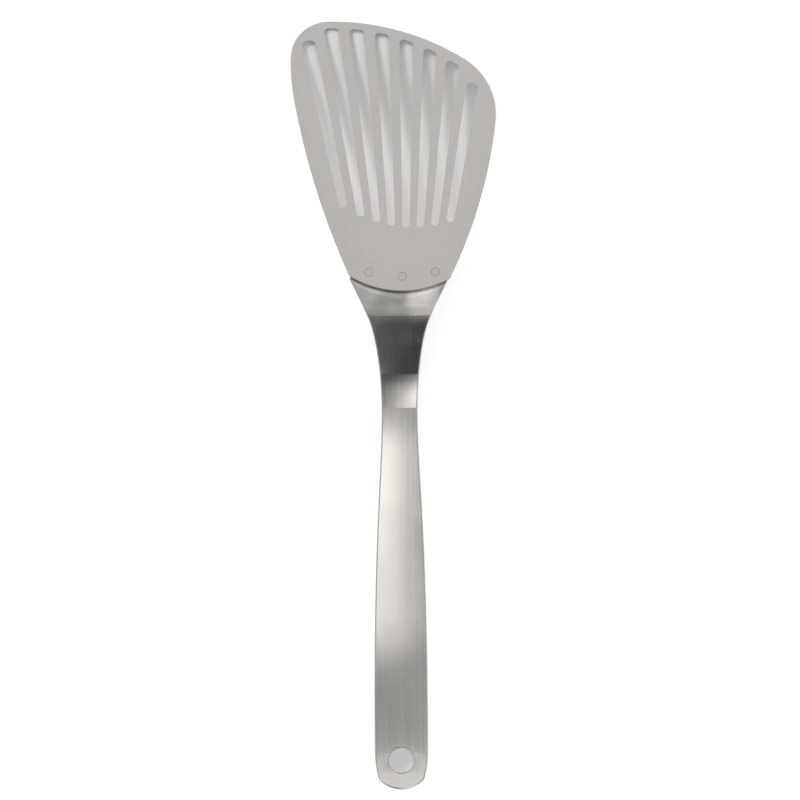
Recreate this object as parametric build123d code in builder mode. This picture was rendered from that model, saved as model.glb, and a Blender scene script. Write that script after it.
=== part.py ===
from build123d import *
import math
import os

os.makedirs("parts", exist_ok=True)

# Slotted turner, lying face down: the front edge of the blade and the belly of the grip touch
# the table, and the flat underside of the blade looks up. Sizes are in millimetres.
# Outlines are drawn in the plane of the blade's underside, with X to the right of the handle's
# axis and Y towards the front edge. The front edge lies near Y = 0, all else at negative Y.

# Blade
blade_width = 80.0
blade_length = 108.7
blade_sheet = 1.0
front_radius = 95.5
left_side_radius = 310.0
right_side_radius = 191.4
heel_radius = 37.5
left_corner_radius = 14.8
right_corner_radius = 26.5
heel_corner_radius = 1.2
blade_edge_chamfer = 0.2

# Corners of the blade before rounding: shares of its width across and of its length back
front_left_shares = (-0.505, -0.0086)
front_right_shares = (0.490, -0.2345)
heel_right_shares = (0.245, -0.954)
heel_left_shares = (-0.240, -0.941)
left_bend_shares = (-0.5106, -0.278)

# Slots: a fan of tapered slots, whose axes meet in one point on the handle
slot_count = 8
slot_step_angle = 3.05
first_slot_angle = 11.7
fan_reach = 187.0
fan_side = 1.9
slot_head_width = 5.5
slot_foot_width = 2.8
slot_rim = 2.8
head_arc_radius = 86.9
heel_land = 25.1
foot_arc_radius = 48.0
foot_arc_side = 5.7
first_head_setback = 4.6
last_head_setback = 2.7
head_round_share = 0.30
end_head_round_share = 0.42
foot_round_share = 0.45

# Handle: one forged strip, flat below and crowned above
handle_thickness = 2.4
handle_width = 20.9
handle_reach = 188.6
near_edge_round = 0.7
far_edge_chamfer = 0.4
tongue_lap = 21.0
tongue_corner_radius = 4.0
heel_width = 38.0
shoulder_land = 3.6
shoulder_radius = 10.0
neck_angle = 35.5
neck_length = 24.8
hollow_radius = 45.0
grip_angle = 18.0
grip_radius = 450.0
tongue_crown_radius = 400.0
grip_crown_radius = 120.0
grip_section_shares = (0.25, 0.5, 0.75, 1)
hang_hole_radius = 4.9
hang_hole_inset = 11.3
hang_rim_chamfer = 0.35
wall_tilt_share = 0.05

# Seat for the blade: a recess whose sloped rear wall rolls over at its top
seat_gap = 0.12
seat_wall_angle = 24.0
seat_roll_radius = 5.0
seat_lip_angle = 3.0

# Rivets, flush on both sides
rivet_head_radius = 1.65
rivet_shank_radius = 1.1
rivet_cone_angle = 90
rivet_bevel = 0.1
rivet_dimple_radius = 0.45
rivet_dimple_depth = 0.15
rivet_gap = 0.04
rivet_pitch = 12.8
rivet_step = 1.8
rivet_inset = 5.7

overrun = 5.0


def share_point(shares):
    """A point of the blade outline from its shares of width and length."""
    return (blade_width * shares[0], blade_length * shares[1])


# Blade outline: arcs, with the two front corners rounded wide. The left side bends before its corner.
with BuildSketch() as blade_outline:
    with BuildLine():
        front_left = share_point(front_left_shares)
        front_right = share_point(front_right_shares)
        heel_right = share_point(heel_right_shares)
        heel_left = share_point(heel_left_shares)
        front_arc = RadiusArc(front_left, front_right, front_radius)
        RadiusArc(front_right, heel_right, right_side_radius)
        heel_arc = RadiusArc(heel_right, heel_left, heel_radius)
        left_side = RadiusArc(heel_left, share_point(left_bend_shares), left_side_radius)
        TangentArc(left_side @ 1, front_left, tangent=left_side % 1)
    make_face()
    corners = blade_outline.vertices().sort_by(Axis.Y)
    fillet(corners[:2], radius=heel_corner_radius)
    fillet(blade_outline.vertices().sort_by_distance(front_left)[0], radius=left_corner_radius)
    fillet(blade_outline.vertices().sort_by_distance(front_right)[0], radius=right_corner_radius)

outline_box = blade_outline.sketch.bounding_box()
front_y = outline_box.max.Y
heel_centre = heel_arc.arc_center
heel_y = heel_centre.Y - heel_radius

# Side view of the handle: flat tongue, shoulder, neck, hollow and long bowed grip
tongue_front_y = heel_y + tongue_lap
shoulder_y = heel_y - shoulder_land
handle_end_y = heel_y - handle_reach
neck_turn = math.radians(neck_angle)
grip_turn = math.radians(grip_angle)
neck_start = Vector(shoulder_y, 0) + shoulder_radius * Vector(-math.sin(neck_turn), math.cos(neck_turn) - 1)
neck_end = neck_start + neck_length * Vector(-math.cos(neck_turn), -math.sin(neck_turn))
grip_start = neck_end + hollow_radius * Vector(
    math.sin(grip_turn) - math.sin(neck_turn),
    math.cos(neck_turn) - math.cos(grip_turn),
)
grip_centre = grip_start + grip_radius * Vector(-math.sin(grip_turn), math.cos(grip_turn))

# Lying pose: the table touches the blade's front edge and is tangent to the underside of the grip
front_foot = Vector(front_y - blade_edge_chamfer, -blade_sheet)
belly_radius = grip_radius + handle_thickness
to_centre = grip_centre - front_foot
climb_angle = math.asin(belly_radius / to_centre.length)
lie_angle = climb_angle - math.atan2(to_centre.Y, -to_centre.X)
lie_cos = math.cos(lie_angle)
lie_sin = math.sin(lie_angle)
foot_height = front_foot.Y * lie_cos - front_foot.X * lie_sin

# Foremost and rearmost points of the turner in plan, at the chamfers of the blade and of the handle's end
end_drop = math.sqrt(belly_radius ** 2 - (handle_end_y - grip_centre.X) ** 2)
plan_front = front_y * lie_cos - blade_edge_chamfer * lie_sin
plan_rear = handle_end_y * lie_cos + (grip_centre.Y - end_drop + far_edge_chamfer) * lie_sin

sheet = Plane(
    origin=(-outline_box.center().X, -(plan_front + plan_rear) / 2, -foot_height),
    x_dir=(1, 0, 0),
    z_dir=(0, lie_sin, lie_cos),
)
side_view = Plane(origin=sheet.origin, x_dir=sheet.y_dir, z_dir=sheet.x_dir)

# Rivet places, across the handle's axis and along it
rivet_y = heel_y + rivet_inset
rivet_places = {
    "rivet_left": (heel_centre.X - rivet_pitch, rivet_y + rivet_step),
    "rivet_centre": (heel_centre.X, rivet_y),
    "rivet_right": (heel_centre.X + rivet_pitch, rivet_y + rivet_step),
}

hang_hole_place = (0, handle_end_y + hang_hole_inset, 0)

# Slot field: heads end on an arc behind the front edge, feet on an arc before the heel
fan_centre = Vector(fan_side, front_y - fan_reach)
head_centre = Vector(front_arc.arc_center.X, front_y - slot_rim - head_arc_radius)
foot_centre = Vector(foot_arc_side, heel_y + heel_land + foot_arc_radius)


def fan_direction(angle):
    """Unit vector from the fan's centre along a slot that leans left by the angle."""
    return Vector(0, 1).rotate(Axis.Z, angle)


def fan_crossings(angle, centre, radius):
    """Near and far distance from the fan's centre at which a slot's axis crosses a circle."""
    along = (centre - fan_centre).dot(fan_direction(angle))
    aside = (centre - fan_centre).length ** 2 - along ** 2
    half_chord = math.sqrt(radius ** 2 - aside)
    return along - half_chord, along + half_chord


def slot_width(reach):
    """Width of a slot at a distance from the fan's centre."""
    head_reach = fan_reach - slot_rim
    foot_reach = fan_reach - (front_y - heel_y) + heel_land
    taper = (slot_head_width - slot_foot_width) / (head_reach - foot_reach)
    return slot_foot_width + taper * (reach - foot_reach)


def slot_shape(angle, setback, round_share):
    """One tapered slot: round foot, and a head cut off along the head arc."""
    foot = fan_crossings(angle, foot_centre, foot_arc_radius)[0]
    head = fan_crossings(angle, head_centre, head_arc_radius)[1] - setback
    top = head if setback else head + overrun
    forward = fan_direction(angle)
    aside = forward.rotate(Axis.Z, -90)
    with BuildSketch() as slot:
        with BuildLine():
            Polyline(
                fan_centre + forward * foot - aside * slot_width(foot) / 2,
                fan_centre + forward * top - aside * slot_width(top) / 2,
                fan_centre + forward * top + aside * slot_width(top) / 2,
                fan_centre + forward * foot + aside * slot_width(foot) / 2,
                close=True,
            )
        make_face()
        with Locations(head_centre):
            Circle(head_arc_radius, mode=Mode.INTERSECT)
        rising = slot.vertices().sort_by(Axis.Y)
        fillet(rising[:2], radius=slot_width(foot) * foot_round_share)
        rising = slot.vertices().sort_by(Axis.Y)
        fillet(rising[-2:], radius=slot_width(head) * round_share)
    return slot.sketch


def slot_field():
    """All slots of the fan, from left to right. The outer two are shorter and round-headed."""
    setbacks = [0] * slot_count
    setbacks[0] = first_head_setback
    setbacks[-1] = last_head_setback
    slots = []
    for number, setback in enumerate(setbacks):
        angle = first_slot_angle - slot_step_angle * number
        round_share = end_head_round_share if setback else head_round_share
        slots.append(slot_shape(angle, setback, round_share))
    return slots


with BuildPart() as blade:
    with BuildSketch(sheet):
        add(blade_outline.sketch)
    extrude(amount=-blade_sheet)
    faces = blade.faces().sort_by(SortBy.AREA)[-2:]
    chamfer(faces.edges(), length=blade_edge_chamfer)
    with BuildSketch(sheet):
        add(slot_field())
    extrude(amount=-blade_sheet, mode=Mode.SUBTRACT)
    with Locations(sheet):
        with Locations(*rivet_places.values()):
            CounterSinkHole(
                rivet_shank_radius + rivet_gap,
                rivet_head_radius + rivet_gap,
                counter_sink_angle=rivet_cone_angle,
            )

# Plan of the handle: shares of its reach behind the blade, and of half its width
flank_shares = (
    (0.019, 1.436),
    (0.065, 1.063),
    (0.109, 0.856),
    (0.161, 0.733),
    (0.230, 0.681),
    (0.343, 0.752),
    (0.506, 0.900),
    (0.702, 0.990),
    (0.925, 0.998),
)
end_corner_shares = (0.980, 0.850)
heel_side_share = 0.955
tongue_side_share = 0.80
tongue_bow_share = 0.12
heel_slope = 0.465
end_slope = 0.012
end_corner_radius = 5.0

heel_half = heel_width / 2
handle_half = handle_width / 2


def flank_point(back_share, half_share):
    """A point of the handle's right flank from its shares of the reach and of half the width."""
    return (handle_half * half_share, heel_y - handle_reach * back_share)


flank = [(heel_half, heel_y * heel_side_share)]
flank += [flank_point(*shares) for shares in flank_shares]
end_half, end_y = flank_point(*end_corner_shares)

with BuildSketch() as handle_outline:
    with BuildLine() as plan:
        tongue_half = heel_half * tongue_side_share
        tongue_corner_y = tongue_front_y - tongue_lap * tongue_bow_share
        Line((tongue_half, tongue_corner_y), flank[0])
        flank_line = Spline(flank, tangents=((-heel_slope, -1), (-end_slope, -1)))
        TangentArc(flank_line @ 1, (end_half, end_y), tangent=flank_line % 1)
        mirror(plan.edges(), about=Plane.YZ)
        ThreePointArc((end_half, end_y), (0, handle_end_y), (-end_half, end_y))
        ThreePointArc((tongue_half, tongue_corner_y), (0, tongue_front_y), (-tongue_half, tongue_corner_y))
    make_face()
    rising = handle_outline.vertices().sort_by(Axis.Y)
    fillet(rising[-2:], radius=tongue_corner_radius)
    fillet(rising[:2], radius=end_corner_radius)

with BuildLine(side_view) as spine:
    tongue_line = Line((tongue_front_y + overrun, 0), (shoulder_y, 0))
    shoulder = JernArc(tongue_line @ 1, tongue_line % 1, shoulder_radius, neck_angle)
    neck = Line(shoulder @ 1, (shoulder @ 1) + (shoulder % 1) * neck_length)
    hollow = JernArc(neck @ 1, neck % 1, hollow_radius, grip_angle - neck_angle)
    end_angle = math.degrees(math.asin((grip_centre.X - handle_end_y + overrun) / grip_radius))
    grip = JernArc(hollow @ 1, hollow % 1, grip_radius, -(grip_angle + end_angle))


strip_half = heel_half + near_edge_round


def strip_section(point, forward, crown_radius):
    """Section across the strip: crowned above and flat below."""
    side_drop = strip_half ** 2 / (2 * crown_radius)
    with BuildSketch(Plane(origin=point, x_dir=sheet.x_dir, z_dir=forward)) as section:
        with BuildLine():
            ThreePointArc((-strip_half, -side_drop), (0, 0), (strip_half, -side_drop))
            Polyline(
                (strip_half, -side_drop),
                (strip_half, -handle_thickness),
                (-strip_half, -handle_thickness),
                (-strip_half, -side_drop),
            )
        make_face()
    return section.sketch


def upward_share(face):
    """How squarely a face looks out along the normal of the blade's underside: one for parallel."""
    return face.normal_at().dot(sheet.z_dir)


# The tongue is nearly flat, and the grip is crowned from its root to its end
strip_sections = [
    strip_section(tongue_line @ 0, tongue_line % 0, tongue_crown_radius),
    strip_section(tongue_line @ 1, tongue_line % 1, tongue_crown_radius),
    strip_section(hollow @ 1, hollow % 1, grip_crown_radius),
]
for along_share in grip_section_shares:
    strip_sections.append(strip_section(grip @ along_share, grip % along_share, grip_crown_radius))

# Far face of the tongue, seen from below: its X runs the other way
far_face = Plane(
    origin=sheet.origin - sheet.z_dir * handle_thickness,
    x_dir=-sheet.x_dir,
    z_dir=-sheet.z_dir,
)

# Cutter for the seat: a profile turned about the centre of the blade's heel arc
seat_centre = sheet.from_local_coords((heel_centre.X, heel_centre.Y, 0))
seat_floor_radius = heel_radius + seat_gap
wall_turn = math.radians(seat_wall_angle)
lip_turn = math.radians(seat_lip_angle)
roll_rise = seat_roll_radius * (math.cos(lip_turn) - math.cos(wall_turn))
wall_length = (blade_sheet - roll_rise) / math.sin(wall_turn)
with BuildPart() as seat_cutter:
    with BuildSketch(Plane(origin=seat_centre, x_dir=sheet.x_dir, z_dir=-sheet.y_dir)):
        with BuildLine():
            wall_foot = (seat_floor_radius, -blade_sheet)
            wall = PolarLine(wall_foot, wall_length, seat_wall_angle)
            roll = JernArc(wall @ 1, wall % 1, seat_roll_radius, seat_lip_angle - seat_wall_angle)
            lip = PolarLine(roll @ 1, overrun, seat_lip_angle)
            Polyline(lip @ 1, ((lip @ 1).X, overrun), (0, overrun), (0, -blade_sheet), wall_foot)
        make_face()
    revolve(axis=Axis(seat_centre, sheet.z_dir))

with BuildPart() as handle:
    sweep(sections=strip_sections, path=spine.wires()[0], multisection=True)
    with BuildSketch(sheet):
        add(handle_outline.sketch)
    extrude(amount=handle_reach, both=True, mode=Mode.INTERSECT)

    # Rims all the way round: rounded on the near face, and with a small chamfer on the far face
    walls = handle.faces().filter_by(lambda face: abs(upward_share(face)) < wall_tilt_share)
    near_faces = handle.faces().filter_by(lambda face: upward_share(face) > wall_tilt_share)
    far_faces = handle.faces().filter_by(lambda face: upward_share(face) < -wall_tilt_share)
    near_rims = near_faces.edges() & walls.edges()
    far_rims = far_faces.edges() & walls.edges()
    fillet(near_rims, radius=near_edge_round)
    chamfer(far_rims, length=far_edge_chamfer)

    # Seat: the tongue is thinned by the sheet, up to a wall that follows the blade's heel
    add(seat_cutter.part, mode=Mode.SUBTRACT)

    # Rivet holes, countersunk from the far face
    with Locations(far_face):
        with Locations(*[(-side, along) for side, along in rivet_places.values()]):
            CounterSinkHole(
                rivet_shank_radius + rivet_gap,
                rivet_head_radius + rivet_gap,
                counter_sink_angle=rivet_cone_angle,
            )

    # Hanging hole with broken rims
    hang_hole_centre = sheet.from_local_coords(hang_hole_place)
    with Locations(sheet * Location(hang_hole_place)):
        Hole(hang_hole_radius)
    bore = handle.faces().filter_by(GeomType.CYLINDER).sort_by_distance(hang_hole_centre)[0]
    chamfer(bore.edges().filter_by(lambda edge: edge.is_closed), length=hang_rim_chamfer)

# Rivets: a cone at either end, and a narrow bevel and a punch mark in the near end
rivets = []
cone_depth = rivet_head_radius - rivet_shank_radius
bevel_radius = rivet_head_radius - rivet_bevel
flat_radius = bevel_radius - rivet_bevel
for name, place in rivet_places.items():
    rivet_centre = sheet.from_local_coords(place)
    with BuildPart() as rivet:
        with BuildSketch(Plane(origin=rivet_centre, x_dir=sheet.x_dir, z_dir=-sheet.y_dir)):
            with BuildLine():
                Polyline(
                    (0, -rivet_dimple_depth),
                    (rivet_dimple_radius, 0),
                    (flat_radius, 0),
                    (bevel_radius, -rivet_bevel),
                    (rivet_shank_radius, -cone_depth),
                    (rivet_shank_radius, cone_depth - handle_thickness),
                    (rivet_head_radius, -handle_thickness),
                    (0, -handle_thickness),
                    close=True,
                )
            make_face()
        revolve(axis=Axis(rivet_centre, sheet.z_dir))
    rivet.part.label = name
    rivets.append(rivet.part)

blade.part.label = "blade"
handle.part.label = "handle"
for piece in (blade.part, handle.part, *rivets):
    export_step(piece, f"parts/{piece.label}.step")
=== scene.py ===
"""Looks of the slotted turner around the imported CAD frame: steel finishes, studio light, pale floor, camera.

Lengths are in metres. X is across the turner, and Y runs along it towards the blade's front edge.
"""
import math

import bpy
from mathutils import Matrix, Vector

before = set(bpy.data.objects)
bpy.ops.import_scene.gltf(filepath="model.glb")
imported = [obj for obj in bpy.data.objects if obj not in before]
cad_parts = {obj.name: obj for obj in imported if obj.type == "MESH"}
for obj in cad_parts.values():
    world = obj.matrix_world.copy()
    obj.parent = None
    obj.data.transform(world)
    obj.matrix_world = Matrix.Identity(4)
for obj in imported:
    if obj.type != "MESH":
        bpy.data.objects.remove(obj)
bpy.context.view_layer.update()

MM = 0.001

# Camera: straight above, turned a little about its own axis
CAMERA_HEIGHT = 1.05
CAMERA_X = 2.06 * MM
CAMERA_Y = 1.5 * MM
CAMERA_ROLL = math.radians(-0.315)
VIEW_WIDTH = 314.5 * MM
SENSOR_WIDTH = 36.0

# Key lamp
KEY_TOWARDS = (-0.50, 0.55, 0.67)
KEY_DISTANCE = 1.5
KEY_SIZE = 0.40
KEY_POWER = 8.0

# Steel colours, linear, and the part of a noise's range that its ramps use
BLADE_STEEL = (0.612, 0.588, 0.568)
HANDLE_STEEL = (0.640, 0.622, 0.596)
NOISE_NARROW = (0.35, 0.65)
NOISE_WIDE = (0.3, 0.7)
BUMP_DEPTH = 0.02 * MM

# Blasted finish. Tints are factors on the steel's colour
GRAIN_SCALE = 2600.0
GRAIN_DETAIL = 2.0
GRAIN_TINT = 0.96
CLOUD_SCALE = 45.0
CLOUD_DETAIL = 3.0
CLOUD_TINTS = (0.975, 1.02)
BLASTED_ROUGHNESS = (0.50, 0.56)
BLASTED_BUMP = 0.10

# Brushed finish: noise scales across and along the strip, and shares of the two noises in a streak
FINE_STREAKS = (5200.0, 26.0)
BROAD_STREAKS = (900.0, 9.0)
STREAK_DETAIL = 2.0
FINE_SHARE = 0.6
BROAD_SHARE = 0.4
STREAK_TINTS = (0.95, 1.035)
STREAK_ROUGHNESS = (0.155, 0.195)
BRUSHED_BUMP = 0.12
BRUSHED_ANISOTROPY = 0.78

# Places on the handle: a painted highlight and a rougher satin by the seat, and dark blotches of painted
# reflection from the neck forward
PAINTED_HIGHLIGHT_TINT = 1.48
PAINTED_HIGHLIGHT_ALONG = (36.0 * MM, 38.5 * MM)
PAINTED_HIGHLIGHT_ACROSS = (-13.0 * MM, 5.0 * MM)
SATIN_ALONG = (30.0 * MM, 38.0 * MM)
SATIN_ROUGHNESS = 0.29
PAINTED_REFLECTION_SCALE = 75.0
PAINTED_REFLECTION_DETAIL = 1.0
PAINTED_REFLECTION_TINT = 0.66
PAINTED_REFLECTION_ALONG = (-6.0 * MM, 12.0 * MM)
PAINTED_REFLECTION_LEAST = 0.12

# Floor. Its lift towards white is lower under the slots and in the hanging hole, which paints shade there
FLOOR_SIZE = 6.0
FLOOR_COLOUR = (0.735, 0.74, 0.75)
FLOOR_LIFT = 0.56
FLOOR_LIFT_PAINTED_SHADE_FEET = 0.16
FLOOR_LIFT_PAINTED_SHADE_HEADS = 0.02
LIFT_FADE = (92.0 * MM, 142.0 * MM)

# Area of painted shade under the slots: a fan about a middle line, from the slots' feet to the arc of their
# heads, less its front left corner
FAN_MIDDLE = 3.1 * MM
FAN_MIDDLE_SLOPE = -0.0185
FAN_HALF = 8.6 * MM
FAN_HALF_SLOPE = 0.192
FAN_EDGE = 2.5 * MM
FAN_FEET = (66.0 * MM, 60.0 * MM)
FAN_CORNER = (177.5 * MM, 180.5 * MM)
HEAD_ARC_CENTRE = (-24.1 * MM, 62.2 * MM, 0.0)
HEAD_ARC_RADIUS = 86.9 * MM
HANG_HOLE = (1.86 * MM, -139.1 * MM, 0.0)
HANG_HOLE_EDGE = (5.0 * MM, 7.5 * MM)

# Studio tent: strength by slant in degrees from straight up, positive towards the front edge
TENT_SLANTS = (-90.0, 90.0)
TENT_STRENGTHS = (
    (-90, 0.32), (-66, 0.26), (-58, 0.09), (-46, 0.10), (-41, 0.34), (-31, 0.60), (-24, 0.80),
    (-19, 0.92), (-17, 0.75), (-15.4, 0.20), (-14.2, 0.20), (-13.2, 1.46), (-10, 1.26), (-6, 1.08),
    (-2, 0.98), (2.8, 1.08), (4.1, 0.42), (6, 0.41), (12.0, 0.42), (13.0, 1.20), (15.5, 1.20),
    (17.5, 0.74), (24, 0.72), (28, 1.10), (50, 1.15), (57, 1.25), (74, 1.25), (90, 0.8),
)
# Change of that strength from left to right, per unit of the direction's X
TENT_SIDE_SLOPES = (
    (-90, 0.0), (-56, -1.6), (-48, -1.4), (-45, 4.0), (-38, 11.0), (-20, 10.0), (-16.5, 3.0),
    (-15, 0.0), (-13, -6.5), (-10.5, -5.4), (-5, -3.4), (2.8, -2.6), (4.6, 0.0), (7, 0.3),
    (11, 0.2), (16, 0.0), (18, 4.0), (26, 4.0), (30, 0.0), (52, 0.0), (58, 2.8), (74, 2.8),
    (80, 0.0), (90, 0.0),
)
SIDE_LIMIT = 0.24
TENT_DARKEST = 0.04
TENT_BRIGHTEST = 1.9
# Between these shares of X the tent goes over to one even strength
TENT_SIDE_BLEND = (0.22, 0.60)
TENT_SIDES = 0.55
TENT_COLOUR = (1.0, 0.995, 0.985)


def rgba(colour):
    return (*colour, 1.0)


def shade(colour, factor):
    return rgba([channel * factor for channel in colour])


class Tree:
    """Short calls for a node tree. Most make a node and return an output to link onwards."""

    def __init__(self, tree):
        self.nodes = tree.nodes
        self.links = tree.links
        self.nodes.clear()

    def add(self, kind, **properties):
        """A node itself, with its properties set by name."""
        node = self.nodes.new(kind)
        for name, value in properties.items():
            setattr(node, name, value)
        return node

    def join(self, source, target):
        self.links.new(source, target)

    def feed(self, node, socket, value):
        """Sets an input to a number or colour, or links it to an output."""
        if isinstance(value, bpy.types.NodeSocket):
            self.join(value, node.inputs[socket])
        else:
            node.inputs[socket].default_value = value

    def end(self, kind, surface):
        """The output node of a material or world."""
        self.join(surface, self.add(kind).inputs["Surface"])

    def place(self):
        """Object coordinates."""
        return self.add("ShaderNodeTexCoord").outputs["Object"]

    def separate(self, vector):
        """The X, Y and Z of a vector."""
        node = self.add("ShaderNodeSeparateXYZ")
        self.join(vector, node.inputs[0])
        return [node.outputs[axis] for axis in "XYZ"]

    def math(self, operation, first, second=0.0, third=0.0):
        node = self.add("ShaderNodeMath", operation=operation)
        for place, value in enumerate((first, second, third)):
            self.feed(node, place, value)
        return node.outputs[0]

    def largest(self, first, *others):
        for other in others:
            first = self.math("MAXIMUM", first, other)
        return first

    def cross(self, first, second):
        node = self.add("ShaderNodeVectorMath", operation="CROSS_PRODUCT")
        self.feed(node, 0, first)
        self.feed(node, 1, second)
        return node.outputs[0]

    def distance(self, point):
        """Distance of the object coordinates from a point."""
        node = self.add("ShaderNodeVectorMath", operation="DISTANCE")
        self.feed(node, 0, self.place())
        self.feed(node, 1, point)
        return node.outputs["Value"]

    def ramp(self, value, span, low=0.0, high=1.0):
        """A smooth step from low to high, as the value crosses the span."""
        node = self.add("ShaderNodeMapRange", interpolation_type="SMOOTHSTEP")
        for place, number in enumerate((value, *span, low, high)):
            self.feed(node, place, number)
        return node.outputs[0]

    def mix(self, factor, first, second):
        """Two colours mixed: inputs 6 and 7 and output 2 are the node's colours."""
        node = self.add("ShaderNodeMix", data_type="RGBA")
        self.feed(node, 0, factor)
        self.feed(node, 6, first)
        self.feed(node, 7, second)
        return node.outputs[2]

    def table(self, value, span, pairs):
        """A number read off (place, number) pairs, with straight lines between them."""
        share = self.add("ShaderNodeMapRange")
        for place, number in enumerate((value, *span, 0.0, 1.0)):
            self.feed(share, place, number)
        node = self.add("ShaderNodeValToRGB")
        low, high = span
        least = min(number for _, number in pairs)
        rise = max(number for _, number in pairs) - least
        stops = node.color_ramp.elements
        for index, (place, number) in enumerate(pairs):
            spot = (place - low) / (high - low)
            if index in (0, len(pairs) - 1):
                stop = stops[0 if index == 0 else -1]
                stop.position = spot
            else:
                stop = stops.new(spot)
            stop.color = rgba([(number - least) / rise] * 3)
        self.join(share.outputs[0], node.inputs[0])
        return self.math("MULTIPLY_ADD", node.outputs[0], rise, least)

    def noise(self, vector, scale, detail):
        node = self.add("ShaderNodeTexNoise")
        self.feed(node, "Vector", vector)
        self.feed(node, "Scale", scale)
        self.feed(node, "Detail", detail)
        return node.outputs[0]

    def streaks(self, scales):
        """Noise drawn out along Y. Z is left out, so that the streaks follow the bent strip."""
        mapping = self.add("ShaderNodeMapping")
        self.feed(mapping, "Vector", self.place())
        self.feed(mapping, "Scale", (*scales, 0.0))
        return self.noise(mapping.outputs[0], 1.0, STREAK_DETAIL)

    def bump(self, height, strength):
        node = self.add("ShaderNodeBump")
        self.feed(node, "Strength", strength)
        self.feed(node, "Distance", BUMP_DEPTH)
        self.feed(node, "Height", height)
        return node.outputs[0]

    def metal(self, colour, roughness, normal, anisotropy=0.0):
        """The metal shader's node, joined to the material's output."""
        shader = self.add("ShaderNodeBsdfPrincipled")
        self.feed(shader, "Metallic", 1.0)
        self.feed(shader, "Anisotropic", anisotropy)
        self.feed(shader, "Base Color", colour)
        self.feed(shader, "Roughness", roughness)
        self.feed(shader, "Normal", normal)
        self.end("ShaderNodeOutputMaterial", shader.outputs[0])
        return shader


def new_material(name):
    material = bpy.data.materials.new(name)
    material.use_nodes = True
    return material, Tree(material.node_tree)


def blasted_steel(name, colour):
    """Fine matt grain, with faint clouds of polish."""
    material, tree = new_material(name)
    place = tree.place()
    grain = tree.noise(place, GRAIN_SCALE, GRAIN_DETAIL)
    cloud = tree.noise(place, CLOUD_SCALE, CLOUD_DETAIL)
    dull, polished = [shade(colour, factor) for factor in CLOUD_TINTS]
    tint = tree.mix(tree.ramp(cloud, NOISE_WIDE), dull, polished)
    tint = tree.mix(tree.ramp(grain, NOISE_NARROW), shade(colour, GRAIN_TINT), tint)
    rough = tree.ramp(cloud, NOISE_WIDE, *BLASTED_ROUGHNESS)
    tree.metal(tint, rough, tree.bump(grain, BLASTED_BUMP))
    return material


def brushed_steel(name, colour):
    """Streaks along the strip: they blur reflections across it and leave them crisp along it."""
    material, tree = new_material(name)
    across, along, _ = tree.separate(tree.place())
    broad = tree.math("MULTIPLY", tree.streaks(BROAD_STREAKS), BROAD_SHARE)
    streak = tree.math("MULTIPLY_ADD", tree.streaks(FINE_STREAKS), FINE_SHARE, broad)

    dull, polished = [shade(colour, factor) for factor in STREAK_TINTS]
    tint = tree.mix(tree.ramp(streak, NOISE_NARROW), dull, polished)
    # Painted highlight: the handle is lighter towards its right side, from the seat band forward
    light = tree.math("MULTIPLY", tree.ramp(along, PAINTED_HIGHLIGHT_ALONG), tree.ramp(across, PAINTED_HIGHLIGHT_ACROSS))
    tint = tree.mix(light, tint, shade(colour, PAINTED_HIGHLIGHT_TINT))
    # Painted reflection: dark blotches from a noise, full from the neck forward and faint behind it
    painted_reflection = tree.ramp(tree.noise(tree.place(), PAINTED_REFLECTION_SCALE, PAINTED_REFLECTION_DETAIL), NOISE_NARROW)
    painted_reflection = tree.math("MULTIPLY", painted_reflection, tree.ramp(along, PAINTED_REFLECTION_ALONG, PAINTED_REFLECTION_LEAST))
    tint = tree.mix(painted_reflection, tint, shade(colour, PAINTED_REFLECTION_TINT))

    satin = tree.ramp(along, SATIN_ALONG, 0.0, SATIN_ROUGHNESS)
    rough = tree.math("ADD", satin, tree.ramp(streak, NOISE_WIDE, *STREAK_ROUGHNESS))
    shader = tree.metal(tint, rough, tree.bump(streak, BRUSHED_BUMP), BRUSHED_ANISOTROPY)
    normal = tree.add("ShaderNodeNewGeometry").outputs["Normal"]
    tree.join(tree.cross((0.0, 1.0, 0.0), normal), shader.inputs["Tangent"])
    return material


def floor_without_painted_shade(tree, across, along):
    """Zero where the floor gets painted shade, under the slots and in the hanging hole, and one elsewhere."""
    middle = tree.math("MULTIPLY_ADD", along, FAN_MIDDLE_SLOPE, FAN_MIDDLE)
    half = tree.math("MULTIPLY_ADD", along, FAN_HALF_SLOPE, FAN_HALF)
    off_middle = tree.math("ABSOLUTE", tree.math("SUBTRACT", across, middle))
    aside = tree.ramp(tree.math("SUBTRACT", off_middle, half), (0.0, FAN_EDGE))
    ahead = tree.ramp(tree.distance(HEAD_ARC_CENTRE), (HEAD_ARC_RADIUS, HEAD_ARC_RADIUS + FAN_EDGE))
    corner = tree.ramp(tree.math("SUBTRACT", along, across), FAN_CORNER)
    behind = tree.ramp(along, FAN_FEET)
    clear = tree.largest(aside, ahead, corner, behind)
    return tree.math("MINIMUM", clear, tree.ramp(tree.distance(HANG_HOLE), HANG_HOLE_EDGE))


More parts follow.
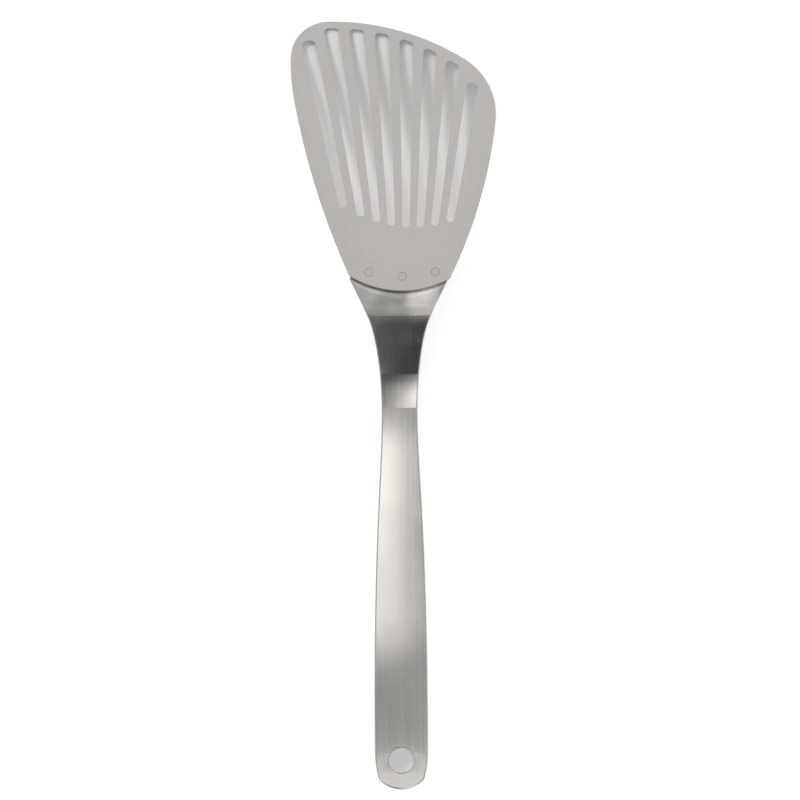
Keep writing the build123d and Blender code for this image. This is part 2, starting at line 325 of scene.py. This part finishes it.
def floor_material():
    """Pale matt floor, with a lift towards white that is seen but lights nothing. The lift is lower under the
    slots and in the hanging hole, as painted shade.
    """
    material, tree = new_material("floor_pale")
    diffuse = tree.add("ShaderNodeBsdfDiffuse")
    tree.feed(diffuse, "Color", rgba(FLOOR_COLOUR))
    across, along, _ = tree.separate(tree.place())
    # Painted shade: a lower lift under the slots, lowest by their heads
    under = tree.ramp(along, LIFT_FADE, FLOOR_LIFT_PAINTED_SHADE_FEET, FLOOR_LIFT_PAINTED_SHADE_HEADS)
    height = tree.ramp(floor_without_painted_shade(tree, across, along), (0.0, 1.0), under, FLOOR_LIFT)
    rays = tree.add("ShaderNodeLightPath").outputs
    seen = tree.largest(rays["Is Camera Ray"], rays["Is Glossy Ray"], rays["Is Transmission Ray"])
    lift = tree.add("ShaderNodeEmission")
    tree.feed(lift, "Strength", tree.math("MULTIPLY", seen, height))
    both = tree.add("ShaderNodeAddShader")
    tree.feed(both, 0, diffuse.outputs[0])
    tree.feed(both, 1, lift.outputs[0])
    tree.end("ShaderNodeOutputMaterial", both.outputs[0])
    return material


def give(node, material):
    """Puts one material on a CAD node."""
    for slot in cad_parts[node].material_slots:
        slot.link = "OBJECT"
        slot.material = material


def make_floor():
    bpy.ops.mesh.primitive_plane_add(size=FLOOR_SIZE, location=(0, 0, 0))
    floor = bpy.context.object
    floor.name = "floor"
    floor.data.materials.append(floor_material())


def make_world():
    """A studio tent whose strength goes by direction: its slant to the front, and its lean aside."""
    world = bpy.data.worlds.new("studio")
    bpy.context.scene.world = world
    world.use_nodes = True
    tree = Tree(world.node_tree)
    aside, forward, up = tree.separate(tree.add("ShaderNodeTexCoord").outputs["Generated"])
    slant = tree.math("MULTIPLY", tree.math("ARCTAN2", forward, up), math.degrees(1.0))
    side = tree.math("MAXIMUM", tree.math("MINIMUM", aside, SIDE_LIMIT), -SIDE_LIMIT)
    middle = tree.table(slant, TENT_SLANTS, TENT_STRENGTHS)
    slope = tree.table(slant, TENT_SLANTS, TENT_SIDE_SLOPES)
    total = tree.math("MAXIMUM", tree.math("MULTIPLY_ADD", slope, side, middle), TENT_DARKEST)
    total = tree.math("MINIMUM", total, TENT_BRIGHTEST)

    # Even sides, and plain white to the camera
    away = tree.ramp(tree.math("ABSOLUTE", aside), TENT_SIDE_BLEND)
    kept = tree.math("MULTIPLY", tree.math("SUBTRACT", 1.0, away), total)
    total = tree.math("ADD", kept, tree.math("MULTIPLY", away, TENT_SIDES))
    seen = tree.add("ShaderNodeLightPath").outputs["Is Camera Ray"]
    background = tree.add("ShaderNodeBackground")
    tree.feed(background, "Color", rgba(TENT_COLOUR))
    tree.feed(background, "Strength", tree.math("MAXIMUM", seen, total))
    tree.end("ShaderNodeOutputWorld", background.outputs[0])


def make_key_lamp():
    """A square softbox that looks at the origin. Metal doesn't mirror it."""
    towards = Vector(KEY_TOWARDS).normalized()
    data = bpy.data.lights.new("key", "AREA")
    data.shape = "SQUARE"
    data.size = KEY_SIZE
    data.energy = KEY_POWER
    lamp = bpy.data.objects.new("key", data)
    bpy.context.collection.objects.link(lamp)
    lamp.visible_glossy = False
    lamp.location = towards * KEY_DISTANCE
    lamp.rotation_euler = (-towards).to_track_quat("-Z", "Y").to_euler()


def make_camera():
    data = bpy.data.cameras.new("camera")
    data.sensor_width = SENSOR_WIDTH
    data.lens = SENSOR_WIDTH * CAMERA_HEIGHT / VIEW_WIDTH
    camera = bpy.data.objects.new("camera", data)
    bpy.context.collection.objects.link(camera)
    camera.location = (CAMERA_X, CAMERA_Y, CAMERA_HEIGHT)
    camera.rotation_euler = (0.0, 0.0, CAMERA_ROLL)
    bpy.context.scene.camera = camera


bpy.context.scene.view_settings.view_transform = "Standard"
give("blade", blasted_steel("blade_satin", BLADE_STEEL))
give("handle", brushed_steel("handle_brushed", HANDLE_STEEL))
rivet_steel = blasted_steel("rivet_satin", BLADE_STEEL)
for rivet in ("rivet_left", "rivet_centre", "rivet_right"):
    give(rivet, rivet_steel)
make_floor()
make_world()
make_key_lamp()
make_camera()
